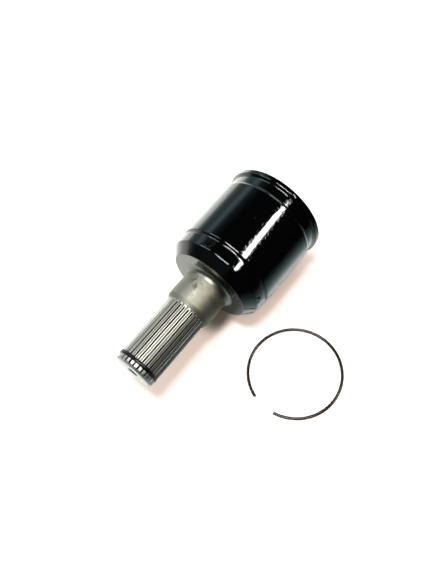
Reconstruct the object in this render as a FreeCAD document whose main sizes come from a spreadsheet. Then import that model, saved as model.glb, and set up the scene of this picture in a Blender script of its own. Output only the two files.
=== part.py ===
import FreeCAD, Part
import math
import os
import re

import Sketcher

# Plunging constant velocity joint of the double offset kind, as used at the inboard end of a
# drive shaft. A forged cup with a splined stub holds a cage, an inner race and six balls.
#
# The joint's axis is X: the stub points to -X and the cup's mouth to +X. The origin is the middle
# of the seal journal, and Z is up. The balls lie in one plane. The cage turns in the cup about a
# point just behind that plane, and the race turns in the cage about a point just ahead of it, so
# the balls always halve the angle between the stub and the drive shaft.
#
# Lengths are in millimetres and angles in degrees.

PARTS_FOLDER = "parts"
AXIS_Y = FreeCAD.Vector(0, 1, 0)
AXIS_Z = FreeCAD.Vector(0, 0, 1)
SAME_PLACE = 1e-4

# The driving sizes. One that begins with = follows from those above it.
SIZES = {
    # stub: splined end, seal journal and machined shoulder
    "spline_length": 52.0,
    "spline_teeth": 29,
    "spline_module": 1.0,
    "spline_depth": 1.1,
    "spline_space": 1.36,
    "spline_flank_angle": 25.0,
    "stub_chamfer_length": 1.6,
    "stub_chamfer_depth": 1.8,
    "centre_hole_radius": 3.8,
    "centre_pilot_radius": 2.0,
    "centre_hole_depth": 9.0,
    "centre_hole_angle": 60.0,
    "stub_ring_wire": 2.0,
    "stub_ring_place": 5.3,
    "stub_ring_proud": 0.4,
    "stub_ring_gap": 24.0,
    "stub_ring_drop": 0.3,
    "stub_groove_play": 0.5,
    "ring_groove_play": 0.3,
    "journal_radius": 17.0,
    "journal_lead": 4.0,
    "journal_length": 18.5,
    "journal_edge_round": 0.4,
    "shoulder_fillet": 4.0,
    "shoulder_radius": 30.0,
    "shoulder_edge_round": 0.4,
    # outside of the cup, from the shoulder to the mouth
    "cone_length": 7.1,
    "cup_wall": 4.6,
    "crease_step": 1.0,
    "crease_round": 1.2,
    "band_step": 0.45,
    "band_length": 7.9,
    "band_edge_round": 0.35,
    "relief_width": 2.35,
    "relief_rise": 1.3,
    "relief_depth": 0.9,
    "relief_round": 0.9,
    "body_draft": 0.6,
    "body_length": 46.1,
    "body_edge_round": 0.4,
    "boot_seat_lead": 1.25,
    "boot_seat_step": 0.7,
    "boot_seat_round": 3.0,
    "boot_seat_length": 7.4,
    "lip_lead": 1.5,
    "lip_length": 3.4,
    "lip_height": 1.2,
    "lip_round": 0.5,
    # inside of the cup
    "base_wall": 8.5,
    "base_dish": 2.5,
    "dish_radius": 15.0,
    "floor_round": 3.0,
    "track_end": 4.0,
    "mouth_chamfer": 1.8,
    "stop_groove_place": 5.8,
    "stop_groove_depth": 2.1,
    # balls and their tracks
    "ball_count": 6,
    "ball_diameter": 14.288,
    "track_play": 0.25,
    "ball_plane_place": 31.0,
    # cage, which the balls stand out of
    "centre_offset": 3.0,
    "cage_radius": 29.0,
    "cage_cover": 4.0,
    "ball_circle": "=cage_radius - cage_cover",
    "cage_play": 0.2,
    "cage_wall": 5.2,
    "cage_length": 29.0,
    "cage_back_wall": 1.93,
    "cage_back_bore": "=sqrt((cage_radius - cage_wall) ^ 2"
                      " - (cage_length / 2 - cage_back_wall + centre_offset) ^ 2)",
    "cage_edge_round": 0.7,
    "window_play": 0.15,
    "window_length": 17.6,
    "window_corner": 3.0,
    # inner race
    "race_play": 0.2,
    "race_length": 25.0,
    "race_chamfer": 1.4,
    "race_edge_chamfer": 0.6,
    "shaft_teeth": 26,
    "shaft_module": 1.0,
    "pressure_angle": 30.0,
    "root_depth": 0.75,
    # stop ring of the cup's mouth, taken off and lying flat beside the cup
    "stop_ring_wire": 2.0,
    "stop_ring_radius": 32.5,
    "stop_ring_gap": 30.0,
    "stop_ring_turn": 174.0,
    "stop_ring_along": 73.9,
    "stop_ring_aside": 76.3,
}

# Places along the axis, from the stub's end face
JOURNAL_START = "spline_length + journal_lead"
FILLET_START = JOURNAL_START + " + journal_length"
SHOULDER = FILLET_START + " + shoulder_fillet"
CREASE = SHOULDER + " + cone_length"
RELIEF_START = CREASE + " + band_length"
BODY_START = RELIEF_START + " + relief_width"
RELIEF_END = BODY_START + " - relief_rise"
BODY_END = BODY_START + " + body_length"
BOOT_SEAT_START = BODY_END + " + boot_seat_lead"
LIP_LEAD = BOOT_SEAT_START + " + boot_seat_length"
LIP_START = LIP_LEAD + " + lip_lead"
MOUTH = LIP_START + " + lip_length"
CUP_FLOOR = SHOULDER + " + base_wall"
DISH_FLOOR = CUP_FLOOR + " - base_dish"
TRACK_END = CUP_FLOOR + " + track_end"
BALL_PLANE = MOUTH + " - ball_plane_place"
ORIGIN = JOURNAL_START + " + journal_length / 2"

# Radii that follow from the driving sizes
SPLINE_TIP = "spline_module * (spline_teeth + 1) / 2"
SPLINE_ROOT = SPLINE_TIP + " - spline_depth"
STUB_RING_RADIUS = SPLINE_TIP + " + stub_ring_proud - stub_ring_wire / 2"
STUB_GROOVE_FLOOR = STUB_RING_RADIUS + " - stub_ring_wire / 2 - stub_groove_play"
BORE = "(cage_radius + cage_play)"
STOP_GROOVE_FLOOR = BORE + " + stop_groove_depth"
TRACK_RADIUS = "ball_diameter / 2 + track_play"
BODY_RADIUS = "ball_circle + " + TRACK_RADIUS + " + cup_wall"
BODY_END_RADIUS = BODY_RADIUS + " + body_draft"
BAND_RADIUS = BODY_RADIUS + " - band_step"
RELIEF_RADIUS = BAND_RADIUS + " - relief_depth"
CREASE_RADIUS = BODY_RADIUS + " - crease_step"
BOOT_SEAT_RADIUS = BODY_RADIUS + " - boot_seat_step"
LIP_RADIUS = BODY_RADIUS + " + lip_height"
CAGE_INSIDE = "(cage_radius - cage_wall)"
RACE_RADIUS = "(" + CAGE_INSIDE + " - race_play)"
SHAFT_TIP = "shaft_module * (shaft_teeth - 1) / 2"
SHAFT_PITCH = "shaft_module * shaft_teeth / 2"
SHAFT_ROOT = SHAFT_PITCH + " + shaft_module * root_depth"

doc = FreeCAD.newDocument("cv_joint")
sheet = doc.addObject("Spreadsheet::Sheet", "sizes")
for row, (alias, number) in enumerate(SIZES.items(), start=1):
    sheet.set("A%d" % row, alias)
    sheet.set("B%d" % row, str(number))
    sheet.setAlias("B%d" % row, alias)
doc.recompute()


def ref(formula):
    """A formula of sizes with each name written as a reference to the sheet."""
    return re.sub(r"[a-z_]+", lambda name: ("sizes." if name[0] in SIZES else "") + name[0], formula)


def value(formula):
    """The present value of a formula of sizes, as a plain number."""
    result = sheet.evalExpression(ref(formula))
    return float(getattr(result, "Value", result))


def bind(item, settings):
    """Tie properties of a document object to formulas of sizes."""
    for name, formula in settings.items():
        item.setExpression(name, ref(formula))


# Sketches


def origin_part(body, role):
    """A plane or axis of the body's own origin."""
    return next(item for item in body.Origin.OriginFeatures if item.Role == role)


def new_sketch(body, name, plane, offset="0"):
    """An empty sketch on one of the body's own planes, moved along that plane's normal."""
    sketch = body.newObject("Sketcher::SketchObject", name)
    sketch.AttachmentSupport = [(origin_part(body, plane), "")]
    sketch.MapMode = "FlatFace"
    bind(sketch, {"AttachmentOffset.Base.z": offset})
    return sketch


def constrain(sketch, formula, kind, *where):
    """Add a constraint whose number is a formula of sizes."""
    index = sketch.addConstraint(Sketcher.Constraint(kind, *where, value(formula)))
    bind(sketch, {"Constraints[%d]" % index: formula})


def pin_point(sketch, edge, point, place):
    """Hold one point of an edge at a place given as two formulas."""
    constrain(sketch, place[0], "DistanceX", -1, 1, edge, point)
    constrain(sketch, place[1], "DistanceY", -1, 1, edge, point)


def add_arc(sketch, start, end, radius, side):
    """An arc under half a turn, with its centre left (1) or right (-1) of the way from start to end."""
    half = (end - start) * 0.5
    across = FreeCAD.Vector(-half.y, half.x, 0).normalize()
    centre = start + half + across * (side * math.sqrt(value(radius) ** 2 - half.Length ** 2))
    first, last = (start, end) if side > 0 else (end, start)
    angles = [math.atan2(point.y - centre.y, point.x - centre.x) for point in (first, last)]
    circle = Part.Circle(centre, AXIS_Z, value(radius))
    edge = sketch.addGeometry(Part.ArcOfCircle(circle, *angles), False)
    constrain(sketch, radius, "Radius", edge)
    return (edge, 1, 2) if side > 0 else (edge, 2, 1)


def add_outline(sketch, corners, arcs):
    """A closed outline through the corners. arcs gives radius and side for the edges that are arcs."""
    points = [FreeCAD.Vector(value(across), value(up), 0) for across, up in corners]
    edges = []
    for index, start in enumerate(points):
        end = points[(index + 1) % len(points)]
        if index in arcs:
            edges.append(add_arc(sketch, start, end, *arcs[index]))
        else:
            edges.append((sketch.addGeometry(Part.LineSegment(start, end), False), 1, 2))
    for index, (edge, first, last) in enumerate(edges):
        following, joined, _ = edges[(index + 1) % len(edges)]
        sketch.addConstraint(Sketcher.Constraint("Coincident", edge, last, following, joined))
        pin_point(sketch, edge, first, corners[index])


class Profile:
    """Corners of a turned outline, collected in order, with the arcs between them."""

    def __init__(self):
        self.corners = []
        self.arcs = {}

    def go(self, along, radius):
        self.corners.append((along, radius))

    def arc(self, along, radius, curve, side):
        """Go to the next corner along an arc of the given curve radius."""
        self.arcs[len(self.corners) - 1] = (curve, side)
        self.go(along, radius)


# PartDesign features


def new_body(name):
    body = doc.addObject("PartDesign::Body", name)
    body.Label = name
    return body


def revolve(body, profile):
    """Turn the profile a full turn about the body's X axis."""
    sketch = new_sketch(body, body.Label + "_profile", "XY_Plane")
    add_outline(sketch, profile.corners, profile.arcs)
    turned = body.newObject("PartDesign::Revolution", body.Label + "_turned")
    turned.Profile = sketch
    turned.ReferenceAxis = (sketch, ["H_Axis"])
    turned.Angle = 360
    doc.recompute()


def round_edges(body, name, radius, circles):
    """Fillet the turned edges at the given places along the axis, each with its own radius there."""
    base = body.Tip
    wanted = [(value(along), value(edge_radius)) for along, edge_radius in circles]
    found = []
    for index, edge in enumerate(base.Shape.Edges, start=1):
        if not isinstance(edge.Curve, Part.Circle):
            continue
        here = (edge.Curve.Center.x, edge.Curve.Radius)
        if any(math.dist(here, there) < SAME_PLACE for there in wanted):
            found.append("Edge%d" % index)
    if len(found) != len(wanted):
        raise RuntimeError("%s: found %d edges of %d" % (name, len(found), len(wanted)))
    fillet = body.newObject("PartDesign::Fillet", name)
    fillet.Base = (base, found)
    bind(fillet, {"Radius": radius})
    doc.recompute()


def cut_around(body, sketch, count, depth=None, forward=False):
    """Pocket the sketch, through all or to a depth, and repeat the cut around the X axis."""
    name = sketch.Label
    volume = body.Shape.Volume
    pocket = body.newObject("PartDesign::Pocket", name + "_cut")
    pocket.Profile = sketch
    pocket.Reversed = forward
    if depth is None:
        pocket.Type = "ThroughAll"
    else:
        bind(pocket, {"Length": depth})
    doc.recompute()
    if not body.Shape.Volume < volume:
        raise RuntimeError(name + " removes nothing")
    pattern = body.newObject("PartDesign::PolarPattern", name + "_pattern")
    pattern.Originals = [pocket]
    pattern.Axis = (origin_part(body, "X_Axis"), [""])
    pattern.Angle = 360
    bind(pattern, {"Occurrences": count})
    body.Tip = pattern
    doc.recompute()


def add_track(body, name, offset):
    """The round section of one ball track, at the top of the ball circle."""
    sketch = new_sketch(body, name, "YZ_Plane", offset)
    centre = FreeCAD.Vector(0, value("ball_circle"), 0)
    edge = sketch.addGeometry(Part.Circle(centre, AXIS_Z, value(TRACK_RADIUS)), False)
    pin_point(sketch, edge, 3, ("0", "ball_circle"))
    constrain(sketch, TRACK_RADIUS, "Radius", edge)
    return sketch


def stub_half_space(radius):
    """Half the width of a spline space of the stub at a radius: it opens outward."""
    return "(spline_space / 2 + (%s - (%s)) * tan(spline_flank_angle))" % (radius, SPLINE_TIP)


def bore_half_space(radius):
    """Half the width of a spline space of the race's bore at a radius: it closes outward."""
    slope = "tan(pressure_angle - 90 / shaft_teeth)"
    return "(pi * shaft_module / 4 - (%s - %s) * %s)" % (radius, SHAFT_PITCH, slope)


def add_space(body, name, offset, inner, outer, half_space):
    """The trapezoid section of one spline space between two radii."""
    sketch = new_sketch(body, name, "YZ_Plane", offset)
    low = half_space(inner)
    high = half_space(outer)
    corners = [
        ("-" + low, inner),
        (low, inner),
        (high, outer),
        ("-" + high, outer),
    ]
    add_outline(sketch, corners, {})
    return sketch


# The housing: stub and cup forged and turned in one piece


def stub_profile(profile):
    """From the centre-drilled end face along the splines and journal to the shoulder."""
    groove_half = "(stub_ring_wire + ring_groove_play) / 2"
    profile.go("centre_hole_depth", "0")
    profile.go("centre_hole_depth - centre_pilot_radius / tan(centre_hole_angle)", "centre_pilot_radius")
    profile.go("(centre_hole_radius - centre_pilot_radius) / tan(centre_hole_angle / 2)",
               "centre_pilot_radius")
    profile.go("0", "centre_hole_radius")
    profile.go("0", SPLINE_TIP + " - stub_chamfer_depth")
    profile.go("stub_chamfer_length", SPLINE_TIP)
    profile.go("stub_ring_place - " + groove_half, SPLINE_TIP)
    profile.go("stub_ring_place - " + groove_half, STUB_GROOVE_FLOOR)
    profile.go("stub_ring_place + " + groove_half, STUB_GROOVE_FLOOR)
    profile.go("stub_ring_place + " + groove_half, SPLINE_TIP)
    profile.go("spline_length", SPLINE_TIP)
    profile.go(JOURNAL_START, "journal_radius")
    profile.go(FILLET_START, "journal_radius")
    profile.arc(SHOULDER, "journal_radius + shoulder_fillet", "shoulder_fillet", 1)
    profile.go(SHOULDER, "shoulder_radius")


def cup_outside_profile(profile):
    """Cone, band, relief, body, boot seat and lip."""
    profile.go(CREASE, CREASE_RADIUS)
    profile.go(RELIEF_START, BAND_RADIUS)
    profile.go(RELIEF_START, RELIEF_RADIUS)
    profile.go(RELIEF_END, RELIEF_RADIUS)
    profile.go(BODY_START, BODY_RADIUS)
    profile.go(BODY_END, BODY_END_RADIUS)
    profile.go(BOOT_SEAT_START, BOOT_SEAT_RADIUS)
    profile.go(LIP_LEAD, BOOT_SEAT_RADIUS)
    profile.go(LIP_START, LIP_RADIUS)
    profile.go(MOUTH, LIP_RADIUS)


def cup_inside_profile(profile):
    """Mouth chamfer, stop-ring groove, bore and dished floor."""
    groove_near = MOUTH + " - stop_groove_place"
    groove_far = groove_near + " - stop_ring_wire - ring_groove_play"
    profile.go(MOUTH, BORE + " + mouth_chamfer")
    profile.go(MOUTH + " - mouth_chamfer", BORE)
    profile.go(groove_near, BORE)
    profile.go(groove_near, STOP_GROOVE_FLOOR)
    profile.go(groove_far, STOP_GROOVE_FLOOR)
    profile.go(groove_far, BORE)
    profile.go(CUP_FLOOR + " + floor_round", BORE)
    profile.arc(CUP_FLOOR, BORE + " - floor_round", "floor_round", 1)
    profile.go(CUP_FLOOR, "dish_radius")
    profile.go(DISH_FLOOR, "dish_radius - base_dish")
    profile.go(DISH_FLOOR, "0")


def make_housing():
    housing = new_body("housing")
    profile = Profile()
    stub_profile(profile)
    cup_outside_profile(profile)
    cup_inside_profile(profile)
    revolve(housing, profile)
    round_edges(housing, "journal_edge", "journal_edge_round", [(JOURNAL_START, "journal_radius")])
    round_edges(housing, "shoulder_edge", "shoulder_edge_round", [(SHOULDER, "shoulder_radius")])
    round_edges(housing, "crease", "crease_round", [(CREASE, CREASE_RADIUS)])
    round_edges(housing, "band_edge", "band_edge_round", [(RELIEF_START, BAND_RADIUS)])
    round_edges(housing, "relief_edges", "relief_round",
                [(RELIEF_END, RELIEF_RADIUS), (BODY_START, BODY_RADIUS)])
    round_edges(housing, "body_edge", "body_edge_round", [(BODY_END, BODY_END_RADIUS)])
    round_edges(housing, "boot_seat_corner", "boot_seat_round",
                [(BOOT_SEAT_START, BOOT_SEAT_RADIUS)])
    round_edges(housing, "lip_edges", "lip_round",
                [(LIP_LEAD, BOOT_SEAT_RADIUS), (LIP_START, LIP_RADIUS), (MOUTH, LIP_RADIUS)])
    track = add_track(housing, "outer_track", MOUTH)
    cut_around(housing, track, "ball_count", depth=MOUTH + " - (" + TRACK_END + ")")
    above = SPLINE_TIP + " + spline_module"
    space = add_space(housing, "stub_space", "0", SPLINE_ROOT, above, stub_half_space)
    cut_around(housing, space, "spline_teeth", depth="spline_length", forward=True)
    bind(housing, {"Placement.Base.x": "-(" + ORIGIN + ")"})
    return housing


# The moving parts inside the cup


def make_cage():
    """Ring between two spheres, one centred behind the ball plane and one ahead of it."""
    cage = new_body("cage")
    back = "-cage_length / 2"
    front = "cage_length / 2"
    outside = "sqrt(cage_radius ^ 2 - (%s + centre_offset) ^ 2)"
    profile = Profile()
    profile.go(back, "cage_back_bore")
    profile.go(back, outside % back)
    profile.arc(front, outside % front, "cage_radius", -1)
    profile.go(front, "sqrt(%s ^ 2 - (%s - centre_offset) ^ 2)" % (CAGE_INSIDE, front))
    profile.arc(back + " + cage_back_wall", "cage_back_bore", CAGE_INSIDE, 1)
    revolve(cage, profile)
    round_edges(cage, "cage_edges", "cage_edge_round",
                [(back, outside % back), (front, outside % front)])
    cut_around(cage, add_window(cage), "ball_count", forward=True)
    bind(cage, {"Placement.Base.x": "%s - (%s)" % (BALL_PLANE, ORIGIN)})
    return cage


def add_window(cage):
    """Rounded window that holds one ball along the axis and lets it creep sideways."""
    sketch = new_sketch(cage, "window", "XY_Plane")
    wide = "(ball_diameter / 2 + window_play)"
    tall = "window_length / 2"
    round_wide = wide + " - window_corner"
    round_tall = tall + " - window_corner"
    corners = [
        ("-(" + round_wide + ")", "-" + tall),
        (round_wide, "-" + tall),
        (wide, "-(" + round_tall + ")"),
        (wide, round_tall),
        (round_wide, tall),
        ("-(" + round_wide + ")", tall),
        ("-" + wide, round_tall),
        ("-" + wide, "-(" + round_tall + ")"),
    ]
    add_outline(sketch, corners, {index: ("window_corner", 1) for index in (1, 3, 5, 7)})
    return sketch


def make_race():
    """Ball-track race with a splined bore, round outside about its own centre."""
    race = new_body("inner_race")
    half = "race_length / 2"
    rim = "(race_length / 2 - race_edge_chamfer)"
    edge = "sqrt(%s ^ 2 - %s ^ 2)" % (RACE_RADIUS, rim)
    profile = Profile()
    profile.go("-" + half, SHAFT_TIP + " + race_chamfer")
    profile.go("-" + half, edge + " - race_edge_chamfer")
    profile.go("-" + rim, edge)
    profile.arc(rim, edge, RACE_RADIUS, -1)
    profile.go(half, edge + " - race_edge_chamfer")
    profile.go(half, SHAFT_TIP + " + race_chamfer")
    profile.go(half + " - race_chamfer", SHAFT_TIP)
    profile.go("-(%s - race_chamfer)" % half, SHAFT_TIP)
    revolve(race, profile)
    cut_around(race, add_track(race, "inner_track", half), "ball_count")
    below = SHAFT_TIP + " - shaft_module / 4"
    space = add_space(race, "bore_space", half, below, SHAFT_ROOT, bore_half_space)
    cut_around(race, space, "shaft_teeth")
    bind(race, {"Placement.Base.x": "%s + centre_offset - (%s)" % (BALL_PLANE, ORIGIN)})
    return race


def make_ball(number):
    """One ball on the ball circle. Ball 1 is at the top, on the axis that the joint bends about."""
    ball = doc.addObject("Part::Sphere", "ball_%d" % number)
    ball.Label = ball.Name
    turn = "%d * 360 / ball_count" % (number - 1)
    bind(ball, {
        "Radius": "ball_diameter / 2",
        "Placement.Base.x": "%s - (%s)" % (BALL_PLANE, ORIGIN),
        "Placement.Base.y": "ball_circle * sin(%s)" % turn,
        "Placement.Base.z": "ball_circle * cos(%s)" % turn,
    })
    return ball


# The two wire rings


def make_wire_ring(name, radius, wire, gap):
    """An open ring of round wire in the XY plane of its own frame."""
    ring = doc.addObject("Part::Torus", name)
    ring.Label = name
    bind(ring, {"Radius1": radius, "Radius2": wire + " / 2", "Angle3": "360 - " + gap})
    return ring


def make_stub_ring():
    """Snap ring hanging in the stub's groove, with its gap at the bottom."""
    ring = make_wire_ring("stub_snap_ring", STUB_RING_RADIUS, "stub_ring_wire", "stub_ring_gap")
    upright = FreeCAD.Rotation(AXIS_Y, 90)
    ring.Placement.Rotation = upright.multiply(FreeCAD.Rotation(AXIS_Z, value("stub_ring_gap / 2")))
    bind(ring, {
        "Placement.Base.x": "stub_ring_place - (%s)" % ORIGIN,
        "Placement.Base.z": "-stub_ring_drop",
    })
    return ring


def make_stop_ring():
    """Stop ring of the cup's mouth, lying on the surface that the lip rests on."""
    ring = make_wire_ring("stop_ring", "stop_ring_radius", "stop_ring_wire", "stop_ring_gap")
    ring.Placement.Rotation = FreeCAD.Rotation(AXIS_Z, value("stop_ring_turn + stop_ring_gap / 2"))
    bind(ring, {
        "Placement.Base.x": "stop_ring_along - (%s)" % ORIGIN,
        "Placement.Base.y": "-stop_ring_aside",
        "Placement.Base.z": "stop_ring_wire / 2 - (%s)" % LIP_RADIUS,
    })
    return ring


def export(pieces):
    """Check every object and piece, then write one STEP file for each piece."""
    doc.recompute()
    for item in doc.Objects:
        if "Invalid" in item.State or "Error" in item.State:
            raise RuntimeError("%s failed: %s" % (item.Label, item.State))
    for piece in pieces:
        if piece.Shape.isNull() or not piece.Shape.isValid():
            raise RuntimeError(piece.Label + " has no valid shape")
    os.makedirs(PARTS_FOLDER, exist_ok=True)
    for piece in pieces:
        piece.Shape.exportStep(os.path.join(PARTS_FOLDER, piece.Label + ".step"))
        print("%-16s %10.1f mm3" % (piece.Label, piece.Shape.Volume))


pieces = [make_housing(), make_stub_ring(), make_cage(), make_race(), make_stop_ring()]
pieces += [make_ball(number) for number in range(1, SIZES["ball_count"] + 1)]
export(pieces)
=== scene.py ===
# %% [markdown]
# # Dressing a constant velocity joint
# This notebook takes a finished metal assembly and gives it its looks: gloss black enamel,
# turned and hardened steel, polished balls and black spring wire.
# The shapes come from the drawing office and stay as they are. What we add here is light,
# a camera, surface finish and the small marks that making and handling leave behind.
# Every length in Blender is a metre, so a helper turns the drawing's millimetres into metres.

# %% Load the assembly
import math

import bmesh
import bpy
from mathutils import Matrix, Vector


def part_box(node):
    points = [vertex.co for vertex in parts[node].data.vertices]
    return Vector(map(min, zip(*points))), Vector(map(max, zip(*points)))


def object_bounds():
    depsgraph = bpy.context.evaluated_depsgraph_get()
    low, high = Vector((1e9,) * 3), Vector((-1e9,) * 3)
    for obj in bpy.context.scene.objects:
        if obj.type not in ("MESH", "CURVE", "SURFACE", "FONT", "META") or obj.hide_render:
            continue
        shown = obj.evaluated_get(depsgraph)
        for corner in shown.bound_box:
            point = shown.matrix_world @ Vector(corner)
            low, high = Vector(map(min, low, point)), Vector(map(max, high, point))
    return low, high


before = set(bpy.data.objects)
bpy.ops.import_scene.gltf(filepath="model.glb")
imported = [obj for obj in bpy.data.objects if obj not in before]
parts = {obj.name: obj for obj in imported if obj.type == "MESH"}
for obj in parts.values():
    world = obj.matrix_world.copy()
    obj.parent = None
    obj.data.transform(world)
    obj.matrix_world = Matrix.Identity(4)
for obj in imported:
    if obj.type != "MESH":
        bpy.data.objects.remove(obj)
cad_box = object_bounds()

MM = 0.001
FLOOR_HEIGHT = cad_box[0].z
print("pieces:", ", ".join(sorted(parts)))
print("size in mm:", [round(side / MM, 1) for side in cad_box[1] - cad_box[0]])

# %% [markdown]
# ## Where things are along the axis
# The joint is a turned part, so everything about it is said with two numbers: how far along
# the axis a point is from the splined end (its station) and how far from the axis (its radius).
# The drawing puts its zero at the middle of the seal journal, so we note how far that is
# from the splined end, and then read stations off the drawing as they are.

# %% Stations and radii of the turned parts, in millimetres
STUB_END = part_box("housing")[0].x
MOUTH = (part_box("housing")[1].x - STUB_END) / MM
RING_PLACE = 5.3
SPLINE_END = 52.0
FILLET_START = 74.5
SHOULDER = 78.5
CUP_FLOOR = 87.0

SPLINE_TEETH = 29
SPLINE_TIP = 15.0
END_FACE_RADIUS = 13.2
END_CHAMFER = 1.6
CENTRE_HOLE_RADIUS = 3.8
SHOULDER_EDGE = 29.75
INSIDE_RADIUS = 33.7
print("the stub starts at", round(STUB_END / MM, 2), "mm")
print("and the mouth is", round(MOUTH, 1), "mm further")

# %% [markdown]
# ## The camera
# A camera is a place, a direction and a lens. We look down on the joint at a steep angle from
# the splined end, and lean the camera a little to one side, as one does with a camera held by hand.
# `turn` swings it round the upright axis, `dip` lifts its nose from straight down, and
# `lean` rolls it about its own line of sight.

# %% Set up the camera
def place_camera(place_mm, turn, dip, lean, lens):
    camera = bpy.data.objects.new("camera", bpy.data.cameras.new("camera"))
    bpy.context.scene.collection.objects.link(camera)
    camera.data.lens = lens
    camera.data.sensor_width = 36.0
    camera.data.clip_start = 0.01
    camera.data.clip_end = 50.0
    aim = Matrix.Rotation(math.radians(turn), 4, "Z")
    aim = aim @ Matrix.Rotation(math.radians(dip), 4, "X")
    aim = aim @ Matrix.Rotation(math.radians(lean), 4, "Z")
    camera.matrix_world = Matrix.Translation(Vector(place_mm) * MM) @ aim
    bpy.context.scene.camera = camera
    return camera


camera = place_camera((-111.5, -145.6, 349.5), turn=-41.613, dip=28.653, lean=-10.830, lens=36.475)
bpy.context.scene.view_settings.view_transform = "Standard"
print("camera is", round(camera.matrix_world.translation.length, 3), "m from the drawing's zero")

# %% [markdown]
# ## Writing materials as node recipes
# A material in Blender is a small network of nodes. Laying them out by hand in code is wordy,
# so these short helpers do the repeating work: `put` adds one node and feeds its inputs,
# `calc` does one sum, and `tint` and `shade` go from one colour or number to another
# where a mask is 1. A mask is a number between 0 and 1 that says where something is.

# %% Helpers: adding nodes and doing sums
def put(tree, kind, inputs=None, **settings):
    """Adds a node, sets it up, and feeds its inputs with numbers, colours or other nodes' outputs."""
    made = tree.nodes.new(kind)
    for name, value in settings.items():
        setattr(made, name, value)
    for name, value in (inputs or {}).items():
        if isinstance(value, bpy.types.NodeSocket):
            tree.links.new(value, made.inputs[name])
        else:
            made.inputs[name].default_value = value
    return made


def calc(tree, operation, *values):
    return put(tree, "ShaderNodeMath", dict(enumerate(values)), operation=operation).outputs[0]


def times(tree, first, *others):
    """All the given masks or numbers multiplied together."""
    for other in others:
        first = calc(tree, "MULTIPLY", first, other)
    return first


def plus(tree, value, more):
    return calc(tree, "ADD", value, more)


def minus(tree, value, less):
    return calc(tree, "SUBTRACT", value, less)


def opposite(tree, mask):
    """1 where the mask is 0, and 0 where it is 1."""
    return minus(tree, 1.0, mask)


print("helpers for sums are ready")

# %% Helpers: blending and easing
def tint(tree, mask, under, over):
    """The colour under, and the colour over where the mask is 1."""
    return put(tree, "ShaderNodeMix", {0: mask, 6: under, 7: over}, data_type="RGBA").outputs[2]


def shade(tree, mask, under, over):
    """The number under, and the number over where the mask is 1."""
    return put(tree, "ShaderNodeMix", {0: mask, 2: under, 3: over}, data_type="FLOAT").outputs[0]


def ease(tree, value, low, high):
    """0 below low, 1 above high, and a smooth slope between. Low may be the larger one."""
    limits = {"Value": value, "From Min": low, "From Max": high}
    return put(tree, "ShaderNodeMapRange", limits, interpolation_type="SMOOTHSTEP").outputs[0]


def ramp(tree, value, steps):
    """A colour read off a strip of steps, each a position from 0 to 1 and a colour."""
    made = put(tree, "ShaderNodeValToRGB", {0: value})
    marks = made.color_ramp.elements
    marks[0].position, marks[1].position = steps[0][0], steps[-1][0]
    for position, _ in steps[1:-1]:
        marks.new(position)
    for mark, (_, colour) in zip(marks, steps):
        mark.color = (*colour, 1.0)
    return made.outputs[0]


print("helpers for blending are ready")

# %% Helpers: places and noise
def vector(tree, x, y, z):
    return put(tree, "ShaderNodeCombineXYZ", {0: x, 1: y, 2: z}).outputs[0]


def xyz(tree, place):
    return put(tree, "ShaderNodeSeparateXYZ", {0: place}).outputs


def stretched(tree, place, by):
    """The place with each of its three numbers multiplied by its own factor."""
    return put(tree, "ShaderNodeVectorMath", {0: place, 1: by}, operation="MULTIPLY").outputs[0]


def far_from(tree, place, centre, by=(1.0, 1.0, 1.0)):
    """How far the place is from a centre. A factor above 1 narrows the shape in that direction."""
    offset = put(tree, "ShaderNodeVectorMath", {0: place, 1: centre}, operation="SUBTRACT").outputs[0]
    offset = stretched(tree, offset, by)
    return put(tree, "ShaderNodeVectorMath", {0: offset}, operation="LENGTH").outputs["Value"]


def own_place(tree):
    """The place on the object, in its own coordinates, in metres."""
    return put(tree, "ShaderNodeTexCoord").outputs["Object"]


def in_millimetres(tree, place):
    return put(tree, "ShaderNodeVectorMath", {0: place, 3: 1 / MM}, operation="SCALE").outputs[0]


def noise(tree, place, scale, detail=2.0, rough=0.5, twist=0.0):
    return put(tree, "ShaderNodeTexNoise", {
        "Vector": place, "Scale": scale, "Detail": detail, "Roughness": rough, "Distortion": twist,
    }).outputs[0]


print("helpers for places are ready")

# %% [markdown]
# ## Node groups: one effect, made once
# Several finishes share an effect, such as lathe marks. Such an effect becomes a node group
# with named inputs and outputs, and each material sets its own values.
# `effect` opens a new group and hands back its tree, its inputs and a place to send its results.

# %% A helper that opens a node group
def effect(name, inputs, outputs):
    tree = bpy.data.node_groups.new(name, "ShaderNodeTree")
    for label, start in inputs.items():
        kind = "NodeSocketVector" if isinstance(start, tuple) else "NodeSocketFloat"
        tree.interface.new_socket(label, in_out="INPUT", socket_type=kind).default_value = start
    for label, kind in outputs.items():
        tree.interface.new_socket(label, in_out="OUTPUT", socket_type="NodeSocket" + kind)
    return tree, tree.nodes.new("NodeGroupInput").outputs, tree.nodes.new("NodeGroupOutput").inputs


def use(tree, group, inputs=None):
    return put(tree, "ShaderNodeGroup", inputs, node_tree=group).outputs


print("groups can be made")

# %% [markdown]
# ### Round the axis
# The first group measures where on a turned part we are. From the object's own coordinates it
# works out the station and radius in millimetres and the angle round the axis, which is 0 at the
# top and grows toward the left-hand side.
# It also gives the place itself in millimetres, so that noise sizes can be said in millimetres.

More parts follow.
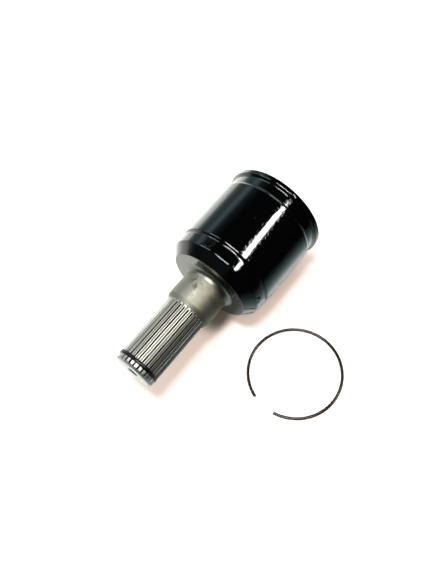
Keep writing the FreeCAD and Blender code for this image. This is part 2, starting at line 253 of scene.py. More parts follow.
# %% Group: round the axis
def make_round_the_axis():
    wanted = {"Station": "Float", "Radius": "Float", "Angle": "Float", "Place": "Vector"}
    tree, _, out = effect("Round the axis", {}, wanted)
    place = in_millimetres(tree, own_place(tree))
    along, left, up = xyz(tree, place)
    squares = plus(tree, calc(tree, "POWER", left, 2.0), calc(tree, "POWER", up, 2.0))
    tree.links.new(minus(tree, along, STUB_END / MM), out["Station"])
    tree.links.new(calc(tree, "SQRT", squares), out["Radius"])
    tree.links.new(calc(tree, "ARCTAN2", left, up), out["Angle"])
    tree.links.new(place, out["Place"])
    return tree


ROUND_THE_AXIS = make_round_the_axis()
print("group", ROUND_THE_AXIS.name, "gives", [s.name for s in ROUND_THE_AXIS.interface.items_tree])

# %% [markdown]
# ### A stretch between two values
# Much of the dressing is said as "from here to there along the axis". This group gives a mask
# that is 1 inside such a stretch, with edges as soft as we like.

# %% Group: stretch
def make_stretch():
    wanted = {"Value": 0.0, "From": 0.0, "To": 1.0, "Soft": 0.1}
    tree, given, out = effect("Stretch", wanted, {"Mask": "Float"})
    value, start, end = given["Value"], given["From"], given["To"]
    half = times(tree, given["Soft"], 0.5)
    past_start = ease(tree, value, minus(tree, start, half), plus(tree, start, half))
    past_end = ease(tree, value, minus(tree, end, half), plus(tree, end, half))
    tree.links.new(times(tree, past_start, opposite(tree, past_end)), out["Mask"])
    return tree


STRETCH = make_stretch()


def stretch(tree, value, start, end, soft):
    return use(tree, STRETCH, {"Value": value, "From": start, "To": end, "Soft": soft})["Mask"]


print("group", STRETCH.name, "is ready")

# %% [markdown]
# ### Marks of the lathe and the grinding wheel
# A tool that cuts while the part turns leaves fine rings. Rings change along the profile but
# hardly round the axis, so the noise is stretched: fast along station and radius, slow with
# the angle. The same group, with finer spacing, does for grinding.

# %% Group: lathe marks
SLOWNESS_ROUND_THE_AXIS = 0.35
BROAD_RINGS = 0.13


def make_lathe_marks():
    wanted = {"Station": 0.0, "Radius": 0.0, "Angle": 0.0, "Pitch": 0.25}
    tree, given, out = effect("Lathe marks", wanted, {"Height": "Float", "Tone": "Float"})
    along = calc(tree, "DIVIDE", given["Station"], given["Pitch"])
    outward = calc(tree, "DIVIDE", given["Radius"], given["Pitch"])
    grooves = vector(tree, along, outward, times(tree, given["Angle"], SLOWNESS_ROUND_THE_AXIS))
    tree.links.new(noise(tree, grooves, 1.0, detail=3.0, rough=0.6), out["Height"])
    tree.links.new(noise(tree, grooves, BROAD_RINGS, detail=1.0), out["Tone"])
    return tree


LATHE_MARKS = make_lathe_marks()


def lathe_marks(tree, where, pitch):
    given = {name: where[name] for name in ("Station", "Radius", "Angle")}
    return use(tree, LATHE_MARKS, {**given, "Pitch": pitch})


print("group", LATHE_MARKS.name, "is ready")

# %% [markdown]
# ### Orange peel, specks and clouds
# Sprayed enamel never lies dead flat: it dries with a faint dimpling like orange peel.
# Dust settles in it as small specks. Heat treatment and handling leave cloudy patches on steel.
# Each is noise read in millimetres, with its own size.

# %% Group: orange peel
RIPPLE_FINENESS, RIPPLE_SHARE = 2.7, 0.35


def make_orange_peel():
    wanted = {"Place": (0.0, 0.0, 0.0), "Size": 1.5}
    tree, given, out = effect("Orange peel", wanted, {"Height": "Float"})
    scale = calc(tree, "DIVIDE", 1.0, given["Size"])
    dimples = noise(tree, given["Place"], scale, detail=1.0, rough=0.4)
    ripples = noise(tree, given["Place"], times(tree, scale, RIPPLE_FINENESS), detail=1.0, rough=0.5)
    tree.links.new(shade(tree, RIPPLE_SHARE, dimples, ripples), out["Height"])
    return tree


ORANGE_PEEL = make_orange_peel()
print("group", ORANGE_PEEL.name, "is ready")

# %% Group: specks
SMALLEST_SPECK = 0.4


def make_specks():
    wanted = {"Place": (0.0, 0.0, 0.0), "Spacing": 6.0, "Size": 0.25, "Share": 0.3}
    tree, given, out = effect("Specks", wanted, {"Mask": "Float"})
    scale = calc(tree, "DIVIDE", 1.0, given["Spacing"])
    cells = put(tree, "ShaderNodeTexVoronoi", {"Vector": given["Place"], "Scale": scale}).outputs
    pick = put(tree, "ShaderNodeSeparateColor", {0: cells["Color"]}).outputs
    size = times(tree, given["Size"], plus(tree, SMALLEST_SPECK, pick[1]))
    dot = calc(tree, "LESS_THAN", times(tree, cells["Distance"], given["Spacing"]), size)
    chosen = calc(tree, "LESS_THAN", pick[0], given["Share"])
    tree.links.new(times(tree, dot, chosen), out["Mask"])
    return tree


SPECKS = make_specks()
print("group", SPECKS.name, "is ready")

# %% Group: clouds
def make_clouds():
    wanted = {"Place": (0.0, 0.0, 0.0), "Size": 8.0, "Low": 0.4, "High": 0.7}
    tree, given, out = effect("Clouds", wanted, {"Mask": "Float"})
    scale = calc(tree, "DIVIDE", 1.0, given["Size"])
    patch = noise(tree, given["Place"], scale, detail=5.0, rough=0.62, twist=0.4)
    tree.links.new(ease(tree, patch, given["Low"], given["High"]), out["Mask"])
    return tree


CLOUDS = make_clouds()


def clouds(tree, place, size, low, high):
    return use(tree, CLOUDS, {"Place": place, "Size": size, "Low": low, "High": high})["Mask"]


print("group", CLOUDS.name, "is ready")

# %% [markdown]
# ## Opening and closing a material
# A new material comes with nodes that we don't want, so it is emptied first. When its shader is
# ready, `surface` connects it to the output, and `dress` puts the material on a piece.

# %% Helpers for materials
BLACK = (0.0, 0.0, 0.0, 1.0)
WHITE = (1.0, 1.0, 1.0, 1.0)


def new_material(name):
    material = bpy.data.materials.new(name)
    material.use_nodes = True
    material.node_tree.nodes.clear()
    return material, material.node_tree


def surface(tree, shader):
    put(tree, "ShaderNodeOutputMaterial", {"Surface": shader})


def matt(tree, colour):
    return put(tree, "ShaderNodeBsdfDiffuse", {"Color": colour}).outputs[0]


def glowing(tree, colour):
    return put(tree, "ShaderNodeEmission", {"Color": colour, "Strength": 1.0}).outputs[0]


def both(tree, shader, other):
    return put(tree, "ShaderNodeAddShader", {0: shader, 1: other}).outputs[0]


def bump(tree, height, strength, distance):
    """Makes a surface look as if it had small heights, without moving it."""
    settings = {"Strength": strength, "Distance": distance, "Height": height}
    return put(tree, "ShaderNodeBump", settings).outputs[0]


def either(tree, mask, shader, other):
    """The first shader, and the other one where the mask is 1."""
    return put(tree, "ShaderNodeMixShader", {0: mask, 1: shader, 2: other}).outputs[0]


def dress(name, material):
    mesh = parts[name].data
    mesh.materials.clear()
    mesh.materials.append(material)


print("materials can be made")

# %% [markdown]
# ## The floor and the surroundings
# The joint lies on a plain white table. A gloss surface shows whatever is round it, so half of
# its looks is made here. Three things matter: the table, which the flanks of the cup mirror,
# a pale wall low down, and darkness overhead, which makes the top of the enamel black.
#
# One table has to serve three kinds of ray, and Light Path tells them apart. The first is the
# camera's. It sees white, part lit and part a warm glow, so the shadow stays soft and warm. Where the
# metal nearly touches, the glow fades and the shade is deep, and a patch close under the neck is
# painted as deep shadow.

# %% The table as the camera sees it
TABLE_SEEN = (0.95, 0.95, 0.95, 1.0)
TABLE_GLOW = (0.50, 0.36, 0.28, 1.0)
DEEP_SHADE_SEEN = (0.42, 0.36, 0.28, 1.0)
DEEP_SHADE_GLOW = (0.015, 0.012, 0.008, 1.0)
SKY_REACH, SKY_FADE = 0.08, (0.10, 0.42)
UNDER_THE_NECK, NECK_SHAPE, NECK_FADE = (0.011, -0.006, 0.0), (1.0, 1.4, 0.0), (0.005, 0.021)
ON_THE_FLOOR = (1.0, 1.0, 0.0)
WHITE_BEYOND = (0.22, 0.60)


def table_for_the_camera(tree, place):
    reach = {"Distance": SKY_REACH}
    open_sky = put(tree, "ShaderNodeAmbientOcclusion", reach, samples=8).outputs["AO"]
    # painted shadow: a patch of the table close under the neck is darkened
    from_neck = far_from(tree, place, UNDER_THE_NECK, by=NECK_SHAPE)
    clear = times(tree, ease(tree, open_sky, *SKY_FADE), ease(tree, from_neck, *NECK_FADE))
    from_middle = far_from(tree, place, (0.0, 0.0, 0.0), by=ON_THE_FLOOR)
    glow = tint(tree, ease(tree, from_middle, *WHITE_BEYOND), TABLE_GLOW, WHITE)
    lit = matt(tree, tint(tree, clear, DEEP_SHADE_SEEN, TABLE_SEEN))
    return both(tree, lit, glowing(tree, tint(tree, clear, DEEP_SHADE_GLOW, glow)))


print("the deep shade lies", round(UNDER_THE_NECK[0] / MM), "mm along from the drawing's zero")

# %% [markdown]
# The second kind of ray is a reflection. It sees a painted reflection: a dark band on the right,
# which only reflections see and which keeps the lower side of the cup black, and a glowing patch on
# the left, a painted gleam. The edge of the dark band runs a little askew on the stub's side, so that
# the stub mirrors more of the dark.

# %% The table as a reflection sees it
# painted reflection: a dark band and a glowing patch on the table that only reflections see
MIRROR_DARK_FAR, MIRROR_DARK_NEAR = -0.20, -0.04
MIRROR_DARK_STEPS = (
    (0.0, (0.0, 0.0, 0.0)), (0.2, (0.02, 0.03, 0.03)), (0.52, (0.09, 0.14, 0.13)),
    (0.7, (0.21, 0.33, 0.30)), (0.82, (0.44, 0.55, 0.52)), (0.9, (0.80, 0.84, 0.82)),
    (1.0, (0.95, 0.95, 0.94)),
)
MIRROR_DARK_TURNS_AT, MIRROR_DARK_SLANT = 0.065, 0.30
TABLE_GLEAM = (0.70, 0.71, 0.66, 1.0)
GLEAM_LEFT, GLEAM_ALONG = (0.03, 0.12), (-0.04, 0.08)


def table_for_a_mirror(tree, place):
    along, left, _ = xyz(tree, place)
    askew = times(tree, calc(tree, "MINIMUM", minus(tree, along, MIRROR_DARK_TURNS_AT), 0.0), MIRROR_DARK_SLANT)
    limits = {"Value": plus(tree, left, askew), "From Min": MIRROR_DARK_FAR, "From Max": MIRROR_DARK_NEAR}
    mirror_dark = ramp(tree, put(tree, "ShaderNodeMapRange", limits).outputs[0], MIRROR_DARK_STEPS)
    patch = times(tree, ease(tree, left, *GLEAM_LEFT), ease(tree, along, *GLEAM_ALONG))
    return both(tree, matt(tree, mirror_dark), glowing(tree, tint(tree, patch, BLACK, TABLE_GLEAM)))


print("the cloth has", len(MIRROR_DARK_STEPS), "shades")

# %% [markdown]
# The third is light that bounces up from the table on to the joint. It finds plain pale paper.
# The table itself is one large disc at the height where the joint rests.

# %% The table
PALE_PAPER = (0.86, 0.86, 0.85, 1.0)
TABLE_RADIUS = 4.0


def make_table_white():
    material, tree = new_material("table_white")
    place = own_place(tree)
    rays = put(tree, "ShaderNodeLightPath").outputs
    bounced, mirrored = matt(tree, PALE_PAPER), table_for_a_mirror(tree, place)
    unseen = either(tree, rays["Is Glossy Ray"], bounced, mirrored)
    surface(tree, either(tree, rays["Is Camera Ray"], unseen, table_for_the_camera(tree, place)))
    return material


def on_the_floor(name, book, material):
    """An object with the mesh that was built in the book, at the floor's height."""
    mesh = bpy.data.meshes.new(name)
    book.to_mesh(mesh)
    book.free()
    mesh.materials.append(material)
    made = bpy.data.objects.new(name, mesh)
    made.location.z = FLOOR_HEIGHT
    bpy.context.scene.collection.objects.link(made)
    return made


disc = bmesh.new()
bmesh.ops.create_circle(disc, cap_ends=True, radius=TABLE_RADIUS, segments=96)
table = on_the_floor("table", disc, make_table_white())
print("the table is", table.dimensions.x, "m across at", round(FLOOR_HEIGHT / MM, 2), "mm")

# %% [markdown]
# Black cards are the usual way to darken reflections. Ours is a canopy: a dome over the table
# that only reflections can see. It is a pale, slightly blue-green wall near the horizon with a
# second pale band half way up, black above that, and black right down to the table on the
# right-hand side and at the splined end.

# %% The dark canopy
CANOPY_RADIUS, CANOPY_HEM = 3.0, -0.05
RIGHT_HAND_FADE = (-0.15, -0.35)
SPLINED_END_FADE = (-0.25, -0.65)
WALL_STEPS = (
    (0.0, (0.62, 0.70, 0.68)), (0.05, (0.52, 0.60, 0.57)), (0.13, (0.24, 0.33, 0.32)),
    (0.22, (0.17, 0.25, 0.24)), (0.36, (0.17, 0.26, 0.28)), (0.48, (0.42, 0.57, 0.65)),
    (0.54, (0.36, 0.48, 0.54)), (0.63, (0.06, 0.09, 0.11)), (0.80, (0.0, 0.0, 0.0)),
)


def make_canopy_colour():
    material, tree = new_material("canopy")
    way = put(tree, "ShaderNodeVectorMath", {0: own_place(tree)}, operation="NORMALIZE").outputs[0]
    along, left, up = xyz(tree, way)
    right_hand = ease(tree, left, *RIGHT_HAND_FADE)
    splined_end = times(tree, ease(tree, along, *SPLINED_END_FADE), 0.92)
    dark = calc(tree, "MAXIMUM", right_hand, splined_end)
    surface(tree, glowing(tree, tint(tree, dark, ramp(tree, up, WALL_STEPS), BLACK)))
    return material


dome = bmesh.new()
bmesh.ops.create_uvsphere(dome, u_segments=64, v_segments=32, radius=CANOPY_RADIUS)
under_the_table = [corner for corner in dome.verts if corner.co.z < CANOPY_HEM]
bmesh.ops.delete(dome, geom=under_the_table, context="VERTS")
canopy = on_the_floor("canopy", dome, make_canopy_colour())
canopy.visible_camera = False
canopy.visible_diffuse = False
canopy.visible_shadow = False
canopy.visible_transmission = False
print("the canopy is", round(canopy.dimensions.x, 2), "m across")

# %% [markdown]
# The world behind everything is plain white wherever the camera or a mirror looks, and a
# gentle grey as a source of light, which fills the shadows.

# %% The world
SKY_PALE = (0.96, 0.98, 1.0, 1.0)
FILL = 0.40


def background(tree, colour, strength):
    return put(tree, "ShaderNodeBackground", {"Color": colour, "Strength": strength}).outputs[0]


world = bpy.data.worlds.new("studio")
bpy.context.scene.world = world
world.use_nodes = True
sky = world.node_tree
sky.nodes.clear()
rays = put(sky, "ShaderNodeLightPath").outputs
mirrored = calc(sky, "MAXIMUM", rays["Is Glossy Ray"], rays["Is Transmission Ray"])
seen = calc(sky, "MAXIMUM", rays["Is Camera Ray"], mirrored)
whole = either(sky, seen, background(sky, SKY_PALE, FILL), background(sky, WHITE, 1.0))
put(sky, "ShaderNodeOutputWorld", {"Surface": whole})
print("the world fills the shadows at a strength of", FILL)

# %% [markdown]
# Five lamps do the lighting. A small softbox hangs almost straight above and makes the short
# shadow, and reflections don't show it. The others are there for reflections alone.
# A long narrow one stands to the right: its mirror image is the white streak that runs down the
# cup. A streak on a cylinder is as wide as the lamp looks from there, and it is long only if the
# lamp is long, so the lamp's long side follows the cup.
# Two strips across the cup, one overhead and one toward the splined end, put fine bright lines
# on its rounded edges and a soft highlight on the journal, and a large weak box on the left
# lifts that side of the bare steel.

# %% The lamps
LAMPS_AIM = Vector((55.0, -18.0, 30.0)) * MM
ALONG, ACROSS, DOWN_THE_CUP = (1.0, 0.0, 0.0), (0.0, 1.0, 0.0), (0.73, 0.66, 0.17)


def softbox(name, toward, distance, size, watts, long_way):
    """A rectangular lamp that looks back at the joint, with its long side turned the long way."""
    lamp = bpy.data.objects.new(name, bpy.data.lights.new(name, "AREA"))
    bpy.context.scene.collection.objects.link(lamp)
    lamp.data.shape = "RECTANGLE"
    lamp.data.size, lamp.data.size_y = size
    lamp.data.energy = watts
    back = Vector(toward).normalized()
    long_side = Vector(long_way)
    long_side = (long_side - long_side.dot(back) * back).normalized()
    turn = Matrix((long_side, back.cross(long_side), back)).transposed().to_4x4()
    lamp.matrix_world = Matrix.Translation(LAMPS_AIM + back * distance) @ turn
    lamp.visible_camera = False
    return lamp


top_light = softbox("top_light", (-0.11, -0.01, 1.0), 1.1, (0.28, 0.28), 10.0, ALONG)
top_light.visible_glossy = False
mirror_lights = (
    softbox("streak_light", (0.349, -0.574, 0.748), 1.0, (0.38, 0.125), 4.9, DOWN_THE_CUP),
    softbox("strip_light", (-0.06, -0.10, 1.0), 1.0, (0.62, 0.12), 7.5, ACROSS),
    softbox("edge_light", (-0.45, -0.12, 0.88), 1.0, (0.50, 0.10), 5.5, ACROSS),
    softbox("left_light", (-0.05, 0.62, 0.78), 1.1, (0.50, 0.50), 2.4, ALONG),
)
for lamp in mirror_lights:
    lamp.visible_diffuse = False
print("lamps:", [(lamp.name, round(lamp.data.energy, 1)) for lamp in (top_light, *mirror_lights)])

# %% [markdown]
# ## The cup's enamel and the stub's steel
# One forging makes the cup and its splined stub. The cup is dipped or sprayed in gloss black
# enamel, and the stub is masked off and stays bare, because it runs in an oil seal and a gear.
# So it is one solid with one material, and masks from the station, radius and angle say what is
# enamel, ground steel, spline or bright end face.
# The masker's line on the shoulder is never perfect, so the enamel's edge wavers a little.

# %% Masks: the enamel outside and the bare hollow inside
EDGE_WAVER, EDGE_SOFT = 0.5, 0.06


def enamel_and_hollow(tree, where):
    station, radius = where["Station"], where["Radius"]
    waver = times(tree, minus(tree, noise(tree, where["Place"], 0.4), 0.5), EDGE_WAVER)
    wavy = plus(tree, radius, waver)
    past_edge = ease(tree, wavy, SHOULDER_EDGE - EDGE_SOFT, SHOULDER_EDGE + EDGE_SOFT)
    on_cup = ease(tree, station, SHOULDER - 0.6, SHOULDER - 0.5)
    in_cup = ease(tree, station, CUP_FLOOR - 0.6, CUP_FLOOR - 0.5)
    hollow = times(tree, in_cup, ease(tree, radius, INSIDE_RADIUS + 0.1, INSIDE_RADIUS))
    return times(tree, past_edge, on_cup, opposite(tree, hollow)), hollow


print("enamel starts at a radius of", SHOULDER_EDGE, "mm on the shoulder")

# %% [markdown]
# ### The ground journal
# Bare steel is never one grey. Under the oil seal it is ground and cloudy, with a brownish film of
# old oil near the shoulder on one side and the winding edge of a dried drop. Near the top of the
# journal, toward the splines, a cloudy patch is painted bright: a painted highlight. Past the splines
# the right-hand side is painted darker in the same brown: painted shade. The drop's edge is the
# difference of two cloud masks, one a little larger than the other.
# A side of the stub is a pair of angles: a finish starts at the first and is full at the second.

# %% Colour: ground journal
STEEL_GREY = (0.33, 0.33, 0.285, 1.0)
STEEL_WARM = (0.36, 0.335, 0.265, 1.0)
STEEL_HIGHLIGHT = (0.52, 0.52, 0.48, 1.0)
FILM_AND_SHADE_BROWN = (0.17, 0.155, 0.11, 1.0)
STAIN_BROWN = (0.10, 0.085, 0.05, 1.0)
HIGHLIGHT_PLACE, HIGHLIGHT_FADE = (-4.3, -2.9, 16.5), (5.0, 1.0)
STAIN_PLACE, STAIN_FADE = (3.5, 1.5, 16.9), (6.5, 2.5)
FILM_START = 64.0
FILM_SIDE = (-0.1, -0.7)
RIGHT_SHADE_PAST_SPLINES = (0.15, -0.75)


def journal_steel(tree, where):
    station, angle, place = where["Station"], where["Angle"], where["Place"]
    steel = tint(tree, clouds(tree, place, 9.0, 0.42, 0.66), STEEL_GREY, STEEL_WARM)

    # painted highlight: a bright patch near the top of the journal
    from_highlight = far_from(tree, place, HIGHLIGHT_PLACE, by=(0.7, 1.5, 1.0))
    painted_highlight = times(tree, ease(tree, from_highlight, *HIGHLIGHT_FADE), clouds(tree, place, 3.5, 0.34, 0.58))
    steel = tint(tree, painted_highlight, steel, STEEL_HIGHLIGHT)

    near_shoulder = stretch(tree, station, FILM_START, FILLET_START, 4.0)
    film = times(tree, near_shoulder, ease(tree, angle, *FILM_SIDE))
    film = times(tree, film, clouds(tree, place, 6.0, 0.36, 0.60))
    steel = tint(tree, film, steel, FILM_AND_SHADE_BROWN)
    # painted shade: past the splines the right-hand side is darkened brown
    past_splines = ease(tree, station, SPLINE_END - 0.5, SPLINE_END + 0.5)
    shaded_past_splines = times(tree, past_splines, ease(tree, angle, *RIGHT_SHADE_PAST_SPLINES), 0.8)
    steel = tint(tree, shaded_past_splines, steel, FILM_AND_SHADE_BROWN)

    runny = stretched(tree, place, (0.45, 0.8, 1.0))
    edge = minus(tree, clouds(tree, runny, 4.0, 0.46, 0.50), clouds(tree, runny, 4.0, 0.52, 0.56))
    stain = times(tree, ease(tree, far_from(tree, place, STAIN_PLACE), *STAIN_FADE), edge, 0.85)
    return tint(tree, stain, steel, STAIN_BROWN)


print("the dried drop is", round(STAIN_PLACE[0] - STUB_END / MM, 1), "mm from the splined end")

# %% [markdown]
# ### The fillet and the turned shoulder
# The shoulder is turned, not ground, and nobody wipes it: it is darker, and its right-hand half is
# painted darker still, painted shade. The fillet between it and the journal is as dark.

# %% Colour: fillet and shoulder
STEEL_DARK = (0.21, 0.225, 0.195, 1.0)
SHADE_DARK = (0.07, 0.075, 0.065, 1.0)
TURNED_FROM = (19.0, 21.0)
SHADE_TOWARD_RIGHT = (6.0, -12.0)


def shoulder_steel(tree, where, steel):
    """The steel with the fillet and shoulder laid over it, and the masks of those two."""
    fillet = ease(tree, where["Station"], FILLET_START - 0.2, FILLET_START + 0.2)
    turned = times(tree, fillet, ease(tree, where["Radius"], *TURNED_FROM))
    _, left, _ = xyz(tree, where["Place"])
    steel = tint(tree, times(tree, fillet, 0.8), steel, STEEL_DARK)
    # painted shade: the right-hand half of the shoulder is darkened
    steel = tint(tree, times(tree, turned, ease(tree, left, *SHADE_TOWARD_RIGHT)), steel, SHADE_DARK)
    return steel, fillet, turned


print("the shoulder's face starts", SHOULDER, "mm from the splined end")

# %% [markdown]
# ### The splines
# The right-hand side of the splines is painted darker and the far right darker still, painted shade,
# and the left-hand side a lighter olive, painted light. On the far right the corners of the teeth are
# painted bright, a painted glint. The spaces between the teeth are painted dark: black oil and
# painted shade in the recesses, darker on the right. Where a tooth's corner is, follows from the
# angle: one turn is cut into as many pitches as there are teeth, and a space has its middle where a
# pitch begins.
# A space is where the steel lies deeper than the teeth's tips, which the end chamfer lowers.

# %% Colour: splines
STEEL_OLIVE = (0.46, 0.42, 0.31, 1.0)
STEEL_FRESH_AND_GLINT = (0.80, 0.82, 0.79, 1.0)
GROOVE_DARK = (0.012, 0.012, 0.010, 1.0)
RIGHT_SIDE, FAR_RIGHT_SIDE, LEFT_SIDE = (0.5, -0.1), (-1.15, -1.45), (0.1, 0.4)
GLINT_SIDE, SPACE_SHADING_SIDE = (-1.5, -1.2), (0.9, 0.2)
CORNER_FADE, SPACE_FADE = (0.30, 0.24), (0.03, 0.15)
CHAMFER_RISE = (SPLINE_TIP - END_FACE_RADIUS) / END_CHAMFER


def spline_steel(tree, where, steel):
    """The steel with the splines laid over it, and the masks of splines, corners and spaces."""
    station, angle = where["Station"], where["Angle"]
    splined = stretch(tree, station, -1.0, SPLINE_END + 1.0, 0.8)
    # painted shade on the right-hand side, darkest on the far right, and painted light, a lighter
    # olive, on the left-hand side
    steel = tint(tree, times(tree, splined, ease(tree, angle, *RIGHT_SIDE), 0.9), steel, FILM_AND_SHADE_BROWN)
    steel = tint(tree, times(tree, splined, ease(tree, angle, *FAR_RIGHT_SIDE)), steel, SHADE_DARK)
    steel = tint(tree, times(tree, splined, ease(tree, angle, *LEFT_SIDE)), steel, STEEL_OLIVE)

    pitches = times(tree, angle, SPLINE_TEETH / (2 * math.pi))
    in_pitch = calc(tree, "FRACT", plus(tree, pitches, 0.5))
    from_space = calc(tree, "ABSOLUTE", minus(tree, in_pitch, 0.5))
    corner = times(tree, splined, ease(tree, from_space, *CORNER_FADE))
    # painted glint: bright corners of the teeth on the far right-hand side
    steel = tint(tree, times(tree, corner, ease(tree, angle, *GLINT_SIDE)), steel, STEEL_FRESH_AND_GLINT)

    chamfer = calc(tree, "MULTIPLY_ADD", station, CHAMFER_RISE, END_FACE_RADIUS)
    depth = minus(tree, calc(tree, "MINIMUM", SPLINE_TIP, chamfer), where["Radius"])
    space = times(tree, splined, ease(tree, depth, *SPACE_FADE))
    # the spaces are painted dark: black oil and painted shade, darker on the right-hand side
    blackness = shade(tree, ease(tree, angle, *SPACE_SHADING_SIDE), 0.55, 1.0)
    steel = tint(tree, times(tree, space, blackness), steel, GROOVE_DARK)
    return steel, splined, corner, space


print("one pitch of the splines is", round(360 / SPLINE_TEETH, 2), "degrees")

# %% [markdown]
# ### The end of the stub
# The end face and the short collar in front of the ring groove are freshly cut and bright, and the
# end face is painted darker toward its top: painted shade. The centre hole, which held the forging in
# the lathe, and the ring's groove are painted dark: dirt, and painted shade in the recesses.

# %% Colour: end face, collar, centre hole and ring groove
END_FACE_SHADE = (0.50, 0.52, 0.49, 1.0)
COLLAR_BRIGHT = (0.52, 0.52, 0.49, 1.0)
FACE_SHADE_FROM = (-2.0, 16.0)
FACE_DEPTH, FACE_INNER = (0.25, 0.1), (3.4, 3.9)
HOLE_DEPTH, HOLE_RIM = (4.0, 3.0), (CENTRE_HOLE_RADIUS + 0.3, CENTRE_HOLE_RADIUS - 0.2)
RING_GROOVE_HALF = 1.35


def end_steel(tree, where, steel, space):
    """The steel with the stub's end laid over it, and the masks of the collar and end face."""
    station, radius = where["Station"], where["Radius"]
    _, left, up = xyz(tree, where["Place"])
    collar = times(tree, stretch(tree, station, -0.5, RING_PLACE - 1.0, 0.3), opposite(tree, space))
    steel = tint(tree, collar, steel, COLLAR_BRIGHT)

    face = times(tree, ease(tree, station, *FACE_DEPTH), ease(tree, radius, *FACE_INNER))
    toward_corner = minus(tree, up, times(tree, left, 0.5))
    steel = tint(tree, face, steel, STEEL_FRESH_AND_GLINT)
    # painted shade: the end face is darker toward its top
    steel = tint(tree, times(tree, face, ease(tree, toward_corner, *FACE_SHADE_FROM)), steel, END_FACE_SHADE)

    hole = times(tree, ease(tree, station, *HOLE_DEPTH), ease(tree, radius, *HOLE_RIM))
    groove_start, groove_end = RING_PLACE - RING_GROOVE_HALF, RING_PLACE + RING_GROOVE_HALF
    groove = stretch(tree, station, groove_start, groove_end, 0.2)
    # the centre hole and the ring groove are painted dark: dirt and painted shade
    steel = tint(tree, calc(tree, "MAXIMUM", hole, groove), steel, GROOVE_DARK)
    return steel, collar, face


print("the ring groove is", RING_PLACE, "mm from the end")

# %% [markdown]
# ### All of it together
# The enamel is a black base under a clear coat: the coat gives the second, sharper reflection.
# Each kind of bare steel has its own roughness. Lathe rings and the enamel's orange peel are
# both so fine that a bump map does for them; the rings stay off the splines, which are milled.

# %% Material: enamelled cup, bare stub
ENAMEL_BLACK = (0.0012, 0.0013, 0.0015, 1.0)
DUST_GREY = (0.10, 0.10, 0.10, 1.0)
INSIDE_GREY = (0.40, 0.405, 0.39, 1.0)
JOURNAL_ROUGH, HOLLOW_ROUGH = (0.50, 0.60), (0.38, 0.52)
ENAMEL_ROUGH, SPECK_ROUGH, COAT_ROUGH = 0.045, 0.5, 0.03
PEEL_DEPTH = 0.10 * MM
RING_SHARE = 0.07


def make_cup_finish():
    material, tree = new_material("enamel_and_steel")
    where = use(tree, ROUND_THE_AXIS)
    enamel, hollow = enamel_and_hollow(tree, where)
    steel, fillet, turned = shoulder_steel(tree, where, journal_steel(tree, where))
    steel, splined, corner, space = spline_steel(tree, where, steel)
    steel, collar, face = end_steel(tree, where, steel, space)
    steel = tint(tree, hollow, steel, INSIDE_GREY)

    dust = {"Place": where["Place"], "Spacing": 7.0, "Size": 0.16, "Share": 0.35}
    specks = use(tree, SPECKS, dust)["Mask"]
    colour = tint(tree, enamel, steel, ENAMEL_BLACK)
    colour = tint(tree, times(tree, specks, enamel, 0.5), colour, DUST_GREY)

    marks = lathe_marks(tree, where, 0.35)
    rough = shade(tree, marks["Tone"], *JOURNAL_ROUGH)
    for mask, value in ((corner, 0.42), (collar, 0.48), (fillet, 0.36), (turned, 0.17), (face, 0.30)):
        rough = shade(tree, mask, rough, value)
    rough = shade(tree, hollow, rough, shade(tree, marks["Tone"], *HOLLOW_ROUGH))
    rough = shade(tree, enamel, rough, shade(tree, specks, ENAMEL_ROUGH, SPECK_ROUGH))

    metal = opposite(tree, enamel)
    peel = use(tree, ORANGE_PEEL, {"Place": where["Place"], "Size": 2.0})["Height"]
    dimples = times(tree, minus(tree, peel, 0.5), enamel)
    off_splines = minus(tree, metal, splined)
    rings = times(tree, minus(tree, marks["Height"], 0.5), off_splines, RING_SHARE)
    relief = bump(tree, plus(tree, rings, dimples), 1.0, PEEL_DEPTH)

    surface(tree, put(tree, "ShaderNodeBsdfPrincipled", {
        "Base Color": colour, "Metallic": metal, "Roughness": rough, "IOR": 1.5,
        "Coat Weight": enamel, "Coat Roughness": COAT_ROUGH, "Coat IOR": 1.5, "Normal": relief,
    }).outputs[0])
    return material


dress("housing", make_cup_finish())
print("the cup and stub wear", parts["housing"].data.materials[0].name)

# %% [markdown]
# ## Black spring wire
# Both rings are drawn steel wire with a black oxide skin. Drawing pulls fine lines along the
# wire, and the oxide is thin, so it is a little lighter where it has been rubbed.

# %% Material: spring wire
WIRE_BLACK = (0.004, 0.004, 0.0045, 1.0)
WIRE_RUBBED = (0.012, 0.012, 0.0125, 1.0)


def make_spring_wire():
    material, tree = new_material("black_spring_wire")
    place = in_millimetres(tree, own_place(tree))
    rub = clouds(tree, place, 3.0, 0.45, 0.75)
    grain = noise(tree, place, 3.5, detail=3.0, rough=0.6)
    surface(tree, put(tree, "ShaderNodeBsdfPrincipled", {
        "Base Color": tint(tree, rub, WIRE_BLACK, WIRE_RUBBED), "Metallic": 0.0,
        "Roughness": shade(tree, grain, 0.16, 0.30), "IOR": 1.5,
        "Normal": bump(tree, grain, 0.4, 0.01 * MM),
    }).outputs[0])
    return material


spring_wire = make_spring_wire()
for name in ("stub_snap_ring", "stop_ring"):
    dress(name, spring_wire)
print("both rings wear", spring_wire.name)

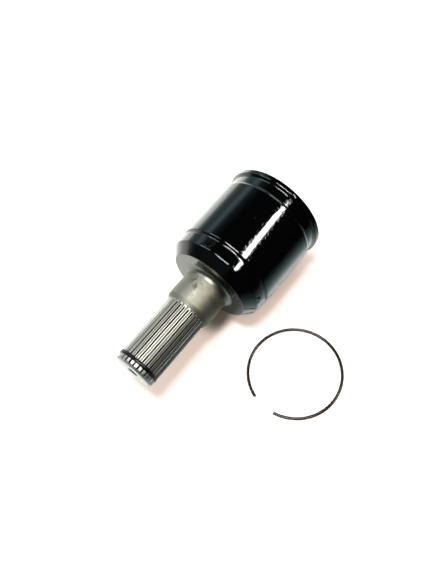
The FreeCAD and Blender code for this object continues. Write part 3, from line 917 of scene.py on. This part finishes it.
# %% [markdown]
# ## Cage, race and balls
# Inside the cup six polished balls run between ground tracks, held by a hardened cage.
# The cage and race share one recipe with different values: hardened steel, ground where the
# balls and the round faces run, with a thin film of oil. The cage is the darker and duller one.

# %% Material: ground steel of the cage and race
def make_ground_steel(name, dark, light, smoothest, roughest, pitch):
    material, tree = new_material(name)
    where = use(tree, ROUND_THE_AXIS)
    marks = lathe_marks(tree, where, pitch)
    patches = clouds(tree, where["Place"], 5.0, 0.35, 0.7)
    surface(tree, put(tree, "ShaderNodeBsdfPrincipled", {
        "Base Color": tint(tree, patches, dark, light), "Metallic": 1.0,
        "Roughness": shade(tree, marks["Tone"], smoothest, roughest),
        "Normal": bump(tree, marks["Height"], 0.35, 0.02 * MM),
    }).outputs[0])
    return material


cage_steel = make_ground_steel(
    "cage_steel", dark=(0.20, 0.20, 0.195, 1.0), light=(0.32, 0.315, 0.30, 1.0),
    smoothest=0.34, roughest=0.50, pitch=0.3)
race_steel = make_ground_steel(
    "race_steel", dark=(0.34, 0.34, 0.33, 1.0), light=(0.46, 0.455, 0.44, 1.0),
    smoothest=0.20, roughest=0.34, pitch=0.2)
dress("cage", cage_steel)
dress("inner_race", race_steel)
print("the cage wears", cage_steel.name, "and the race", race_steel.name)

# %% [markdown]
# The balls are lapped until they mirror. All that shows on them is the oil, slightly warm and
# slightly dull where it is thick.

# %% Material: polished balls
BALL_BRIGHT = (0.66, 0.66, 0.67, 1.0)
BALL_OILED = (0.60, 0.58, 0.53, 1.0)


def make_ball_finish():
    material, tree = new_material("polished_ball")
    film = clouds(tree, in_millimetres(tree, own_place(tree)), 4.0, 0.4, 0.8)
    surface(tree, put(tree, "ShaderNodeBsdfPrincipled", {
        "Base Color": tint(tree, film, BALL_BRIGHT, BALL_OILED), "Metallic": 1.0,
        "Roughness": shade(tree, film, 0.05, 0.13),
    }).outputs[0])
    return material


ball_finish = make_ball_finish()
balls = [name for name in parts if name.startswith("ball_")]
for name in balls:
    dress(name, ball_finish)
print("dressed", len(balls), "balls")
